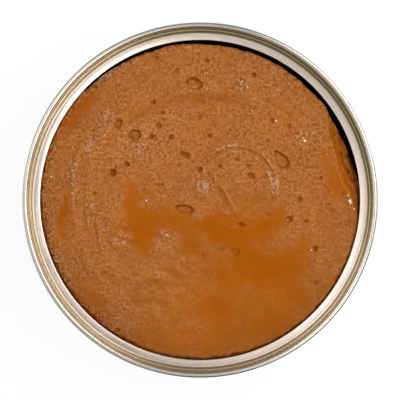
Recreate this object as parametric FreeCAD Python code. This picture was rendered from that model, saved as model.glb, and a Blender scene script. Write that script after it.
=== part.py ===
"""An opened round can of sardine pate, in millimetres, standing upright with +Z up.

Three pieces, each its own solid:
  can_body   a drawn tinplate cup with a stepped base, its rim turned over into a body hook
  lid_ring   what stays of the easy-open end once its panel is torn out: ledge, groove, chuck
             wall, and the seam that is folded round the body hook
  pate       the filling, set against the base and the wall, with a void along one side where
             the headspace gathered, a broken slope beside it, pores and shallow swirl marks
The origin is the centre of the foot that the can stands on.
"""

import math
import os

import FreeCAD
import Part

V = FreeCAD.Vector
UP = V(0, 0, 1)

# Driving dimensions
CAN_HEIGHT = 35.0
SEAM_RADIUS = 43.65
BODY_SHEET = 0.20
END_SHEET = 0.24
SEAM_GAP = 0.025  # sealing compound between neighbouring layers of the seam
SEAM_LENGTH = 2.9
LEDGE_DEPTH = 3.45  # from the top of the seam down to the top of the ledge
GROOVE_DEPTH = 4.55  # from the top of the seam down to the floor of the groove
TORN_EDGE_RADIUS = 39.45
PATE_DEPTH = 4.25  # from the top of the seam down to the filling

# Radii at mid-thickness, from the outside of the seam inwards
LAYER_STEP = (BODY_SHEET + END_SHEET) / 2 + SEAM_GAP
OUTER_WALL_R = SEAM_RADIUS - END_SHEET / 2
BODY_HOOK_R = OUTER_WALL_R - LAYER_STEP
COVER_HOOK_R = BODY_HOOK_R - LAYER_STEP
BODY_TOP_R = COVER_HOOK_R - LAYER_STEP
CHUCK_TOP_R = BODY_TOP_R - LAYER_STEP
CHUCK_TAPER = 0.25
CHUCK_FOOT_R = CHUCK_TOP_R - CHUCK_TAPER
WALL_R = BODY_TOP_R - CHUCK_TAPER
WALL_INSIDE_R = WALL_R - BODY_SHEET / 2

# Heights at mid-thickness
SEAM_TOP_Z = CAN_HEIGHT - END_SHEET / 2
HOOK_TOP_Z = CAN_HEIGHT - END_SHEET - BODY_SHEET / 2  # the ring sits on the body hook
SEAM_FOOT_Z = CAN_HEIGHT - SEAM_LENGTH + END_SHEET / 2
COVER_HOOK_TIP_Z = HOOK_TOP_Z - 0.45
BODY_HOOK_TIP_Z = SEAM_FOOT_Z + 0.42
LEDGE_Z = CAN_HEIGHT - LEDGE_DEPTH - END_SHEET / 2
GROOVE_Z = CAN_HEIGHT - GROOVE_DEPTH - END_SHEET / 2

# Bends at mid-thickness
HOOK_BEND = 0.88 * LAYER_STEP
SEAM_TOP_BEND = 0.42
GROOVE_BEND = 0.43
PANEL_BEND = 0.45
FLARE_BEND = 6.0
LEDGE_BEND = 6.0
LEDGE_SLOPE = math.radians(14.0)
PANEL_WALL_R = CHUCK_FOOT_R - 2.1 * GROOVE_BEND
SCORE_BEVEL = 0.12

# Base of the cup, at mid-thickness
FOOT_R = 38.6
FOOT_RISE_R = 37.4
RECESS_Z = 1.25
STEP_OUTER_R = 28.7
STEP_INNER_R = 27.5
STEP_Z = 1.80
HEEL_BEND = 2.0
FOOT_BEND = 0.6
RECESS_BEND = 0.7
STEP_BEND = 0.8

# Filling
PATE_Z = CAN_HEIGHT - PATE_DEPTH
GROOVE_PRINT_R = PANEL_WALL_R - END_SHEET / 2 - 0.15
GROOVE_PRINT_Z = GROOVE_Z - END_SHEET / 2 - 0.12
GROOVE_PRINT_BEND = 0.2

# Void where the headspace gathered, in plan; azimuths in degrees from +X towards +Y
VOID_AZIMUTH = 66.0
VOID_HALF_SPAN = 100.0
VOID_EDGE_R = 38.25
VOID_POWER = 4
VOID_STEPS = 50
VOID_RIPPLE = 0.07
VOID_FLOOR_Z = PATE_Z - 8.5

# Broken slope beside the void
SLOPE_AZIMUTH = 19.5
SLOPE_DISTANCE = 35.6
SLOPE_FALL = math.radians(38.0)
SLOPE_REACH = 9.0
SLOPE_HALF_WIDTH = 19.0

# Larger pores in the surface: centre x and y, length, width, tilt in degrees, depth
PORES = [
    (-1.5, 28.7, 4.0, 2.9, -20, 0.60),
    (-20.1, 18.7, 2.3, 1.7, 60, 0.55),
    (-16.0, 16.0, 3.0, 2.6, 30, 0.60),
    (-21.4, 6.6, 1.6, 1.3, 70, 0.60),
    (-3.6, 11.2, 2.0, 1.2, -25, 0.50),
    (-3.8, -2.2, 4.8, 1.9, -8, 0.75),
    (19.9, 10.0, 4.8, 2.3, -55, 0.60),
    (12.5, 6.0, 1.9, 1.3, -15, 0.55),
    (21.8, -4.8, 1.5, 1.3, 0, 0.60),
    (28.2, -12.0, 1.5, 1.3, 0, 0.60),
    (8.7, -12.8, 2.3, 2.1, 0, 0.35),
]

# Marks that the filling nozzle and the panel left: centre x and y, radius, azimuth of the
# start and sweep in degrees, width and depth of the furrow
FURROWS = [
    (10.3, 3.4, 9.3, -35, 175, 1.1, 0.20),
    (10.3, 3.4, 7.9, -5, 60, 0.7, 0.12),
    (0.8, -5.5, 31.1, 70, 55, 1.2, 0.16),
    (9.1, 0.3, 40.2, 168, 25, 1.3, 0.18),
    (9.1, 0.3, 42.4, 170, 23, 2.0, 0.18),
    (24.0, 7.2, 50.6, 179, 25, 1.2, 0.16),
    (-22.0, -9.0, 28.0, 15, 20, 1.3, 0.30),
]


class Sheet:
    """A folded sheet in the r-z half-plane: corners (r, z, bend radius) at mid-thickness."""

    def __init__(self, corners, thickness, start_bevel=0.0):
        self.points = [V(r, 0, z) for r, z, _ in corners]
        self.bends = [bend for _, _, bend in corners]
        self.half = thickness / 2
        self.start_bevel = start_bevel

    def direction(self, i):
        return (self.points[i + 1] - self.points[i]).normalize()

    def left(self, i):
        along = self.direction(i)
        return V(-along.z, 0, along.x)

    def start(self, sign):
        """Where the face on one side of the sheet begins; the left face may be bevelled."""
        bevel = self.start_bevel if sign > 0 else 0.0
        return self.points[0] + self.left(0) * (sign * self.half) + self.direction(0) * bevel

    def end(self, sign):
        return self.points[-1] + self.left(len(self.points) - 2) * (sign * self.half)

    def side(self, sign):
        """Edges of the left face (sign 1) or the right face (sign -1), from start to end."""
        edges = []
        here = self.start(sign)
        for i in range(1, len(self.points) - 1):
            before, after = self.direction(i - 1), self.direction(i)
            turns_left = before.x * after.z - before.z * after.x > 0
            inward = 1 if turns_left else -1
            reach = self.bends[i] * math.tan(before.getAngle(after) / 2)
            radius = self.bends[i] - inward * sign * self.half
            first, last = self.left(i - 1) * inward, self.left(i) * inward
            centre = self.points[i] - before * reach + first * self.bends[i]
            arc_start, arc_end = centre - first * radius, centre - last * radius
            arc_middle = centre - (first + last).normalize() * radius
            edges += straight(here, arc_start)
            edges.append(Part.Arc(arc_start, arc_middle, arc_end).toShape())
            here = arc_end
        return edges + straight(here, self.end(sign))

    def solid(self):
        caps = straight(self.start(-1), self.start(1)) + straight(self.end(-1), self.end(1))
        return turned(self.side(1) + self.side(-1) + caps)


def straight(a, b):
    """A straight edge from a to b, in a list, or no edge where the two points are one."""
    return [Part.LineSegment(a, b).toShape()] if a.distanceToPoint(b) > 1e-6 else []


def turned(edges):
    """The solid of revolution about Z of the closed outline that the edges make."""
    outline = Part.Wire(Part.sortEdges(edges)[0])
    solid = Part.Face(outline).revolve(V(0, 0, 0), UP, 360)
    return solid if solid.Volume > 0 else solid.reversed()


def base_corners():
    """Corners of the cup's base, from the axis out to the foot."""
    return [
        (0.0, STEP_Z, 0),
        (STEP_INNER_R, STEP_Z, STEP_BEND),
        (STEP_OUTER_R, RECESS_Z, STEP_BEND),
        (FOOT_RISE_R, RECESS_Z, RECESS_BEND),
        (FOOT_R, BODY_SHEET / 2, FOOT_BEND),
        (WALL_R, BODY_SHEET / 2, HEEL_BEND),
    ]


def can_body():
    rim = [
        (WALL_R, GROOVE_Z, FLARE_BEND),
        (BODY_TOP_R, HOOK_TOP_Z, HOOK_BEND),
        (BODY_HOOK_R, HOOK_TOP_Z, HOOK_BEND),
        (BODY_HOOK_R, BODY_HOOK_TIP_Z, 0),
    ]
    return Sheet(base_corners() + rim, BODY_SHEET).solid()


def lid_ring():
    crown_r = PANEL_WALL_R - PANEL_BEND - LEDGE_BEND * math.tan(LEDGE_SLOPE / 2) - 0.02
    fall = (crown_r - TORN_EDGE_RADIUS) * math.tan(LEDGE_SLOPE)
    corners = [
        (TORN_EDGE_RADIUS, LEDGE_Z - fall, 0),
        (crown_r, LEDGE_Z, LEDGE_BEND),
        (PANEL_WALL_R, LEDGE_Z, PANEL_BEND),
        (PANEL_WALL_R, GROOVE_Z, GROOVE_BEND),
        (CHUCK_FOOT_R, GROOVE_Z, GROOVE_BEND),
        (CHUCK_TOP_R, SEAM_TOP_Z, SEAM_TOP_BEND),
        (OUTER_WALL_R, SEAM_TOP_Z, SEAM_TOP_BEND),
        (OUTER_WALL_R, SEAM_FOOT_Z, HOOK_BEND),
        (COVER_HOOK_R, SEAM_FOOT_Z, HOOK_BEND),
        (COVER_HOOK_R, COVER_HOOK_TIP_Z, 0),
    ]
    return Sheet(corners, END_SHEET, start_bevel=SCORE_BEVEL).solid()


def filling():
    """The filling before anything is taken out of it: it meets the base and the wall."""
    cup = Sheet(base_corners() + [(WALL_R, GROOVE_PRINT_Z, 0)], BODY_SHEET)
    top = Sheet(
        [
            (WALL_INSIDE_R, GROOVE_PRINT_Z, 0),
            (GROOVE_PRINT_R, GROOVE_PRINT_Z, GROOVE_PRINT_BEND),
            (GROOVE_PRINT_R, PATE_Z, GROOVE_PRINT_BEND),
            (0.0, PATE_Z, 0),
        ],
        0.0,
    )
    axis = straight(cup.start(1), V(0, 0, PATE_Z))
    return turned(cup.side(1) + top.side(1) + axis)


def void_edge(azimuth):
    """Radius of the filling's edge at the void, which meets the wall at both ends."""
    away = abs(azimuth - VOID_AZIMUTH) / VOID_HALF_SPAN
    ripple = math.sin(math.radians(azimuth) * 17) + math.sin(math.radians(azimuth) * 29 + 1)
    reach = WALL_INSIDE_R - VOID_EDGE_R
    return VOID_EDGE_R + reach * away**VOID_POWER + VOID_RIPPLE * ripple * (1 - away)


def void():
    """The crescent between the filling's edge and the wall."""
    azimuths = [
        VOID_AZIMUTH + VOID_HALF_SPAN * (2 * i / VOID_STEPS - 1) for i in range(VOID_STEPS + 1)
    ]
    edge = Part.BSplineCurve()
    edge.interpolate([polar(void_edge(a), a, VOID_FLOOR_Z) for a in azimuths])
    beyond = WALL_INSIDE_R + 1
    first, last = azimuths[0], azimuths[-1]
    near, far = polar(beyond, first, VOID_FLOOR_Z), polar(beyond, last, VOID_FLOOR_Z)
    outside = Part.Arc(near, polar(beyond, VOID_AZIMUTH, VOID_FLOOR_Z), far).toShape()
    ends = straight(edge.StartPoint, near) + straight(edge.EndPoint, far)
    outline = Part.Wire(Part.sortEdges([edge.toShape(), outside] + ends)[0])
    return Part.Face(outline).extrude(V(0, 0, CAN_HEIGHT - VOID_FLOOR_Z))


def polar(radius, azimuth, z):
    angle = math.radians(azimuth)
    return V(radius * math.cos(angle), radius * math.sin(angle), z)


def broken_slope():
    """The wedge that is taken off the filling's top, past a straight crest."""
    low = PATE_Z - SLOPE_REACH * math.tan(SLOPE_FALL)
    corners = [
        V(SLOPE_DISTANCE, -SLOPE_HALF_WIDTH, PATE_Z),
        V(SLOPE_DISTANCE + SLOPE_REACH, -SLOPE_HALF_WIDTH, low),
        V(SLOPE_DISTANCE + SLOPE_REACH, -SLOPE_HALF_WIDTH, CAN_HEIGHT),
        V(SLOPE_DISTANCE, -SLOPE_HALF_WIDTH, CAN_HEIGHT),
    ]
    face = Part.Face(Part.makePolygon(corners + corners[:1]))
    wedge = face.extrude(V(0, 2 * SLOPE_HALF_WIDTH, 0))
    wedge.rotate(V(0, 0, 0), UP, SLOPE_AZIMUTH)
    return wedge


def bite_radius(width, depth):
    """Radius of the round cutter that leaves a hollow of this width and depth."""
    return (width * width / 4 + depth * depth) / (2 * depth)


def pore(x, y, length, width, tilt, depth):
    radius = bite_radius(width, depth)
    height = PATE_Z + radius - depth
    half = (length - width) / 2
    ends = [V(-half, 0, height), V(half, 0, height)]
    cutter = Part.makeCylinder(radius, 2 * half, ends[0], V(1, 0, 0))
    cutter = cutter.fuse([Part.makeSphere(radius, end) for end in ends])
    cutter.rotate(V(0, 0, 0), UP, tilt)
    cutter.translate(V(x, y, 0))
    return cutter


def furrow(x, y, radius, start, sweep, width, depth):
    cutter_radius = bite_radius(width, depth)
    height = PATE_Z + cutter_radius - depth
    centre = V(x, y, height)
    cutter = Part.makeTorus(radius, cutter_radius, centre, UP, 0, 360, sweep)
    cutter.rotate(centre, UP, start)
    return cutter


def pate():
    cutters = [void(), broken_slope()]
    cutters += [pore(*values) for values in PORES]
    cutters += [furrow(*values) for values in FURROWS]
    return filling().cut(cutters)


def main():
    os.makedirs("parts", exist_ok=True)
    for name, make in {"can_body": can_body, "lid_ring": lid_ring, "pate": pate}.items():
        shape = make()
        solids = shape.Solids
        print(name, "valid", shape.isValid(), "solids", len(solids), "mm3", round(shape.Volume, 1))
        (solids[0] if len(solids) == 1 else shape).exportStep(f"parts/{name}.step")


main()
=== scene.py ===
"""Looks of an opened can of fish pate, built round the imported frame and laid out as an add-on.

The lid ring and the can's body are folded sheets turned about the can's axis. The pate is one
relief on a disc, with furrows, ridges, pores, a broken slope and a void along one side, and
pale grains lie in its surface. Marks are placed in millimetres from the can's axis.
"""

import cmath
import math

import bpy
import numpy as np
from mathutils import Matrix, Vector


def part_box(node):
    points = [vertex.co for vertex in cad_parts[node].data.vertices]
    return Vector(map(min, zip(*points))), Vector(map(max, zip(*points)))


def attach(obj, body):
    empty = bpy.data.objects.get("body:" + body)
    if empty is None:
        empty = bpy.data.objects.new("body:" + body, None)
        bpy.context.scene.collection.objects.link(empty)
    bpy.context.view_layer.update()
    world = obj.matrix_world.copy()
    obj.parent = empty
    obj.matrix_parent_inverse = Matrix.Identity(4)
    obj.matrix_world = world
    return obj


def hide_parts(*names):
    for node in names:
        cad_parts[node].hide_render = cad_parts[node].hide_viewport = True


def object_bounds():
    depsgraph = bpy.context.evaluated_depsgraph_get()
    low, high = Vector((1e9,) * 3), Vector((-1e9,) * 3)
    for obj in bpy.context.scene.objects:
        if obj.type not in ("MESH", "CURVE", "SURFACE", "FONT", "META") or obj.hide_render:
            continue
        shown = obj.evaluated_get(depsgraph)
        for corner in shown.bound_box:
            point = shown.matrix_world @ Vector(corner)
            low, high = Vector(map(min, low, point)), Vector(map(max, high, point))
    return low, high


bl_info = {
    "name": "Opened can of fish pate",
    "version": (1, 0, 0),
    "blender": (4, 5, 0),
    "location": "3D View > Sidebar > Can of pate",
    "description": "Turns a lid ring and a can's body from folded sheet, and models the pate in it",
    "category": "Object",
}

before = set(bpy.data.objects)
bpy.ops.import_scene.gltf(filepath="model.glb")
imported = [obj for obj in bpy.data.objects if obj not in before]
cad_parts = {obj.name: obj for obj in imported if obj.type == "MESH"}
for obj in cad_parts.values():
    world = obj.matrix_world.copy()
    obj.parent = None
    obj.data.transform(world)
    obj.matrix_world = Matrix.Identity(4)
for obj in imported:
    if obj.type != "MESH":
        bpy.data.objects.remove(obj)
CAD_BOX = [list(corner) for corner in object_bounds()]

MM = 0.001
CAN_HEIGHT = CAD_BOX[1][2]
SEAM_RADIUS = (CAD_BOX[1][0] - CAD_BOX[0][0]) / 2
PATE_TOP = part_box("pate")[1][2]
PATE_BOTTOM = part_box("pate")[0][2]

# Where the filling's edge stands at the void: azimuth in degrees from +X, radius in mm
VOID_EDGE = [
    (-12, 42.4), (-4, 41.2), (5, 39.6), (12, 38.75), (20, 38.2), (30, 38.0), (38, 38.35), (60, 38.3),
    (84, 38.3), (97, 38.6), (108, 38.5), (126, 38.8), (133, 38.9), (138, 39.4), (148, 41.2), (156, 42.4),
]

# Pores: centre x and y, length, width, tilt in degrees, depth, how much of the floor rises into a
# dome that the painted shade spares, and how much wider one end is than the other
PORES = [
    (-1.4, 28.7, 4.0, 2.8, -20, 0.62, 0.9, 0.0),
    (-20.1, 18.7, 2.4, 1.7, 60, 0.55, 0.4, 0.0),
    (-16.0, 16.0, 3.0, 2.6, 30, 0.62, 0.6, 0.0),
    (-10.1, 18.4, 1.4, 1.2, 0, 0.45, 0.5, 0.0),
    (-11.9, 15.6, 1.1, 1.0, 0, 0.45, 0.0, 0.0),
    (-7.1, 15.5, 1.2, 1.1, 0, 0.45, 0.0, 0.0),
    (-21.4, 6.7, 1.8, 1.4, 75, 0.60, 0.0, 0.0),
    (-18.0, 8.8, 1.2, 1.0, 0, 0.35, 0.0, 0.0),
    (-4.1, 11.4, 1.5, 1.0, -20, 0.50, 0.0, 0.0),
    (-3.2, 10.9, 1.3, 1.2, -40, 0.50, 0.0, 0.0),
    (-3.8, -2.2, 4.8, 2.0, -9, 0.70, 0.8, 0.0),
    (20.0, 10.1, 5.2, 2.6, -54, 0.66, 0.8, 0.5),
    (12.6, 6.0, 1.8, 1.2, -20, 0.55, 0.4, 0.0),
    (12.0, 8.3, 0.9, 0.8, 0, 0.35, 0.0, 0.0),
    (17.8, 19.6, 1.4, 0.9, -10, 0.45, 0.0, 0.0),
    (21.9, 18.2, 0.9, 0.8, 0, 0.35, 0.0, 0.0),
    (10.2, -6.0, 2.0, 1.1, -15, 0.45, 0.2, 0.0),
    (22.0, -4.7, 1.6, 1.4, 0, 0.55, 0.0, 0.0),
    (26.2, -5.2, 1.0, 0.8, 0, 0.40, 0.0, 0.0),
    (28.3, -12.0, 1.5, 1.2, 30, 0.55, 0.0, 0.0),
    (8.7, -12.8, 2.4, 2.2, 0, 0.22, 0.8, 0.0),
    (5.3, -12.1, 1.5, 1.3, 0, 0.14, 0.7, 0.0),
    (-11.5, 24.2, 1.3, 1.1, 20, 0.45, 0.0, 0.0),
    (13.3, 30.8, 1.1, 1.0, 0, 0.45, 0.0, 0.0),
    (28.6, -20.4, 1.2, 1.0, 0, 0.30, 0.0, 0.0),
    (-20.3, -32.1, 1.3, 1.0, 30, 0.40, 0.0, 0.0),
    (0.0, 7.5, 1.3, 1.1, 0, 0.50, 0.0, 0.0),
    (4.8, 8.4, 1.1, 0.8, -30, 0.40, 0.0, 0.0),
    (2.4, 15.9, 1.0, 0.9, 0, 0.40, 0.0, 0.0),
    (24.6, 0.2, 1.2, 1.1, 0, 0.45, 0.0, 0.0),
    (29.8, 5.4, 0.8, 0.8, 0, 0.40, 0.0, 0.0),
    (1.7, 34.3, 1.0, 0.8, 0, 0.35, 0.0, 0.0),
    (-5.5, 32.0, 0.9, 0.8, 0, 0.30, 0.0, 0.0),
    (-10.7, 35.0, 0.9, 0.8, 0, 0.35, 0.0, 0.0),
    (-9.2, 21.6, 0.8, 0.7, 0, 0.35, 0.0, 0.0),
    (-25.9, 1.6, 0.8, 0.7, 0, 0.40, 0.0, 0.0),
    (-9.4, 3.8, 0.7, 0.7, 0, 0.35, 0.0, 0.0),
    (16.6, -3.4, 1.5, 0.7, -40, 0.25, 0.0, 0.0),
]

# Arcs pressed into the surface or raised from it: centre x and y, radius, azimuth of the start
# and sweep in degrees, width, and height, which is negative for a furrow
ARCS = [
    (0.4, -4.2, 29.5, 62, 72, 2.2, -0.13),
    (0.4, -4.2, 31.2, 75, 50, 1.0, 0.06),
    (9.1, 3.4, 10.0, -24, 180, 0.9, 0.22),
    (9.1, 3.4, 9.2, -34, 190, 0.7, -0.09),
    (9.1, 3.4, 8.4, -22, 160, 0.9, 0.18),
    (9.3, 3.4, 10.0, -125, 95, 1.2, 0.08),
    (-46.4, -29.3, 60.0, 23.0, 15.5, 1.2, -0.12),
    (-46.4, -29.3, 61.2, 23.0, 11, 0.8, 0.12),
    (13.5, 0.0, 44.8, 164, 28, 1.0, 0.12),
    (13.5, 0.0, 46.7, 172, 20, 2.4, -0.07),
    (13.5, -2.0, 40.4, 167, 16, 0.9, 0.12),
    (13.5, -2.0, 39.0, 180, 18, 0.9, 0.13),
    (13.5, -2.0, 39.7, 183, 12, 0.6, -0.12),
    (0.0, 0.0, 33.2, 200, 22, 0.6, -0.10),
    (0.0, 0.0, 31.6, 205, 24, 0.6, 0.08),
    (-6.0, 24.0, 45.0, 255, 30, 1.0, -0.08),
    (-3.0, 20.0, 41.6, 245, 22, 0.9, 0.06),
    (2.0, -2.0, 33.8, 40, 32, 1.0, 0.07),
    (4.0, -2.0, 29.0, 44, 28, 1.0, -0.07),
    (-1.0, 1.0, 26.8, 128, 60, 1.2, 0.09),
    (-1.0, 1.0, 29.0, 128, 52, 1.2, -0.08),
    (-1.0, 1.0, 30.8, 130, 45, 1.0, 0.07),
    (20.0, -6.5, 15.0, 24, 26, 0.6, 0.16),
]

# Oily patches, smooth and deep in colour: centre x and y, half-length, half-width, tilt, strength
OIL = [
    (-15.2, -4.8, 7.4, 4.0, 104, 1.3),
    (-10.5, -4.8, 5.4, 3.6, -8, 1.2),
    (-14.0, -10.0, 3.2, 2.8, 0, 1.0),
    (-3.2, -8.6, 6.0, 3.0, -62, 1.0),
    (-2.0, -5.6, 4.0, 1.8, 0, 0.5),
    (9.5, -7.2, 11.0, 3.8, 0, 1.4),
    (3.4, -5.6, 4.2, 3.0, 0, 1.2),
    (17.4, -5.0, 5.0, 3.2, 20, 1.3),
    (11.0, -12.0, 6.0, 3.4, -50, 0.8),
    (14.5, -16.2, 5.4, 4.4, 0, 1.1),
    (19.0, -17.2, 6.0, 3.6, 12, 0.65),
    (23.6, -14.0, 5.4, 3.4, 50, 0.8),
    (21.6, -22.6, 4.6, 3.6, -10, 0.8),
    (4.2, -27.4, 5.0, 4.4, -30, 0.8),
    (6.4, -18.2, 4.0, 3.0, -30, 0.6),
    (17.0, -30.0, 7.0, 4.6, 30, 0.5),
    (-33.0, -4.8, 8.0, 1.4, 91, 1.0),
    (-30.4, 22.0, 8.8, 2.8, 54, 1.2),
    (-18.2, 1.4, 4.0, 2.4, 100, 0.6),
    (33.0, 4.8, 6.6, 3.4, -62, 1.0),
    (29.0, -9.0, 7.0, 4.4, 20, 0.3),
    (-26.5, -26.0, 7.5, 4.4, -44, 0.5),
    (-26.8, -7.8, 3.4, 2.6, -60, 0.4),
    (10.0, -22.0, 18.0, 16.0, 0, 0.55),
    (-4.0, -35.0, 15.0, 4.0, -6, 0.40),
]

# Where pale flecks, partly painted glints, are denser or sparser: centre x and y, half-length,
# half-width, tilt, amount
FLECKS = [
    (0.5, 2.6, 3.4, 3.0, -30, 2.2),
    (4.8, 5.6, 4.6, 1.3, 42, 0.8),
    (18.6, 3.2, 5.4, 0.9, -78, 1.9),
    (9.5, 12.2, 4.6, 1.0, -4, 0.6),
    (10.8, 28.4, 3.0, 2.6, 0, 2.0),
    (14.4, 30.2, 2.4, 2.0, 0, 0.7),
    (12.2, 21.8, 4.0, 1.9, 52, 1.0),
    (25.2, 15.2, 2.8, 2.4, 0, 0.9),
    (18.5, 30.5, 3.0, 2.2, -30, 0.6),
    (-12.0, 18.0, 10.0, 6.5, 28, 0.85),
    (-14.5, 12.6, 7.5, 5.0, 0, 0.8),
    (-25.6, 15.6, 8.6, 1.9, 58, 1.5),
    (-21.6, 8.6, 3.4, 1.6, 40, 1.0),
    (-18.4, 25.4, 6.0, 1.8, 34, 0.8),
    (-3.0, 31.6, 7.0, 2.8, -6, 0.4),
    (-31.4, 4.6, 5.6, 0.9, 86, 1.6),
    (-26.7, -3.2, 5.8, 0.8, 88, 1.8),
    (-24.0, -7.8, 5.0, 0.8, 80, 1.5),
    (-22.0, 2.8, 4.0, 2.6, 30, 0.35),
    (-20.2, -9.6, 3.2, 1.7, 84, 1.1),
    (-8.2, -9.2, 3.2, 2.9, 0, 1.1),
    (-31.4, -14.6, 3.4, 2.0, -60, 0.7),
    (-13.5, -16.6, 5.5, 2.6, 0, 0.5),
    (-26.4, -19.4, 4.0, 2.0, -50, 0.3),
    (37.2, -0.4, 4.0, 1.5, -64, 1.2),
    (2.2, 19.0, 9.0, 5.0, 0, -0.3),
    (10.0, 2.0, 4.6, 5.4, 0, -0.3),
    (26.0, 2.5, 3.6, 4.0, 0, -0.3),
    (30.0, 10.0, 3.4, 3.0, 0, -0.5),
    (15.5, -1.0, 9.0, 4.6, 0, -0.9),
    (27.0, -0.5, 5.0, 5.0, 0, -0.8),
    (-16.5, 28.6, 6.0, 3.0, 30, -0.5),
    (-28.0, -14.0, 4.0, 4.0, 0, -0.4),
]

# Single pale crumbs, coloured near white as painted glints: centre x and y, and size
CRUMBS = [
    (25.8, 14.6, 0.75), (25.5, 15.2, 0.35), (21.6, -4.9, 0.50), (27.5, -12.3, 0.45), (18.7, 19.5, 0.45),
    (36.4, 1.1, 0.40), (36.9, -0.2, 0.70), (37.1, -0.7, 0.50), (37.9, -2.2, 0.35), (-13.2, -0.1, 0.35),
    (-36.6, 5.8, 0.40), (-31.4, 7.3, 0.32), (-31.1, 8.9, 0.26), (-19.0, -10.4, 0.32), (-8.2, -8.6, 0.32),
    (18.6, 4.2, 0.30), (11.6, 27.8, 0.30), (10.4, 29.2, 0.34),
]

# The folded sheets: the chuck wall leans out by its taper, and the crown is the ledge's shoulder
SEAM_GAP = 0.025 * MM
CHUCK_TAPER = 0.25 * MM
GROOVE_WIDTH = 0.903 * MM
CROWN_WIDTH = 1.207 * MM
LEDGE_FALL = math.tan(math.radians(14))
BASE_STEP = 0.55 * MM

# The broken slope beside the void: degrees for its azimuth, mm for its sizes
SLOPE_AZIMUTH = 16.3
SLOPE_DISTANCE = 36.0
SLOPE_HALF_LENGTH = 11.0
SLOPE_BOW = 0.8
SLOPE_FALL = math.tan(math.radians(38))

# The filling's outer part, in mm: the lid's groove has pressed a print into it, from this radius
# out to the body's wall and this far below its top, and where it fell away there is a void
PRINT_RADIUS = 41.1
PRINT_STEP = 0.66
WALL_RADIUS = 42.40
VOID_DEPTH = 8.5

# Rings down the filling's side, as shares of its depth and of the way out to the body's wall, and
# rings of the underside, as radius and height above the filling's lowest point in mm
FILLING_SIDE = ((0.03, 0.0), (0.10, 0.0), (0.30, 0.01), (0.65, 0.02), (0.94, 0.10))
UNDERSIDE = ((WALL_RADIUS, 3.0), (40.3, 0.3), (36.8, 1.4), (27.4, 1.8))

PATE_IOR = 1.45
FLOOR_RADIUS = 2.5
LAMP_DISTANCE = 1.2


# ---------------------------------------------------------------------------- node helpers


def feed(tree, node, inputs):
    """Gives each of these inputs its value, or links it from a socket."""
    for key, value in inputs.items():
        if isinstance(value, bpy.types.NodeSocket):
            tree.links.new(value, node.inputs[key])
        else:
            node.inputs[key].default_value = value


def add(tree, kind, inputs=None, **settings):
    """A node of this kind, with its inputs fed."""
    node = tree.nodes.new(kind)
    for name, value in settings.items():
        setattr(node, name, value)
    feed(tree, node, inputs or {})
    return node


def maths(tree, operation, *values, clamp=False):
    node = add(tree, "ShaderNodeMath", dict(enumerate(values)), operation=operation, use_clamp=clamp)
    return node.outputs[0]


def product(tree, result, *factors):
    for factor in factors:
        result = maths(tree, "MULTIPLY", result, factor)
    return result


def total(tree, result, *terms):
    for term in terms:
        result = maths(tree, "ADD", result, term)
    return result


def vector_maths(tree, operation, *values):
    node = add(tree, "ShaderNodeVectorMath", dict(enumerate(values)), operation=operation)
    return node.outputs["Value" if operation in ("LENGTH", "DOT_PRODUCT") else "Vector"]


def scaled(tree, vector, factor):
    node = add(tree, "ShaderNodeVectorMath", {0: vector, "Scale": factor}, operation="SCALE")
    return node.outputs["Vector"]


def level(tree, vector):
    """A vector's level part, without its height."""
    return vector_maths(tree, "MULTIPLY", vector, (1.0, 1.0, 0.0))


def facing(tree, direction, azimuth):
    """From -1 to 1, how far a level direction points to this azimuth, in degrees from +X."""
    turn = math.radians(azimuth)
    return vector_maths(tree, "DOT_PRODUCT", direction, (math.cos(turn), math.sin(turn), 0.0))


def axes(tree, vector):
    return add(tree, "ShaderNodeSeparateXYZ", {0: vector}).outputs


def along_z(tree, height):
    return add(tree, "ShaderNodeCombineXYZ", {2: height}).outputs[0]


def between(tree, value, low, high, start=0.0, end=1.0):
    """start where value is low and end where it is high, eased between them."""
    node = add(
        tree,
        "ShaderNodeMapRange",
        {"Value": value, "From Min": low, "From Max": high, "To Min": start, "To Max": end},
        interpolation_type="SMOOTHSTEP",
    )
    return node.outputs["Result"]


def mixed(tree, factor, first, second, blend="MIX"):
    """Two colours mixed; each is a socket, or red, green and blue."""
    inputs = {0: factor}
    for key, value in ((6, first), (7, second)):
        inputs[key] = value if isinstance(value, bpy.types.NodeSocket) else (*value, 1.0)
    return add(tree, "ShaderNodeMix", inputs, data_type="RGBA", blend_type=blend).outputs[2]


def grey(tree, value):
    return add(tree, "ShaderNodeCombineColor", {0: value, 1: value, 2: value}).outputs[0]


def noise(tree, vector, scale, detail=2.0, roughness=0.5, **inputs):
    """Noise of about 1 / scale metres, from 0 to 1."""
    values = {"Vector": vector, "Scale": scale, "Detail": detail, "Roughness": roughness, **inputs}
    dimensions = "4D" if "W" in inputs else "3D"
    return add(tree, "ShaderNodeTexNoise", values, noise_dimensions=dimensions).outputs[0]


def group_tree(name, kind, inputs, outputs):
    """A node group with named sockets, its input node's sockets and its output node."""
    tree = bpy.data.node_groups.new(name, kind)
    for label, socket_kind, default in inputs:
        socket = tree.interface.new_socket(label, in_out="INPUT", socket_type=socket_kind)
        if default is not None:
            socket.default_value = default
    for label, socket_kind in outputs:
        tree.interface.new_socket(label, in_out="OUTPUT", socket_type=socket_kind)
    given = tree.nodes.new("NodeGroupInput").outputs
    return tree, given, tree.nodes.new("NodeGroupOutput")


# ---------------------------------------------------------------------------- geometry helpers


def geometry_tree(name, inputs):
    """A geometry group that also takes the finish of what it makes."""
    inputs = [*inputs, ("Finish", "NodeSocketMaterial", None)]
    return group_tree(name, "GeometryNodeTree", inputs, [("Geometry", "NodeSocketGeometry")])


def close_tree(tree, given, result, geometry):
    """Ends a geometry tree with real geometry in the finish that it takes."""
    real = add(tree, "GeometryNodeRealizeInstances", {"Geometry": geometry}).outputs[0]
    inputs = {"Geometry": real, "Material": given["Finish"]}
    feed(tree, result, {0: add(tree, "GeometryNodeSetMaterial", inputs).outputs[0]})


def position(tree):
    return add(tree, "GeometryNodeInputPosition").outputs[0]


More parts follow.
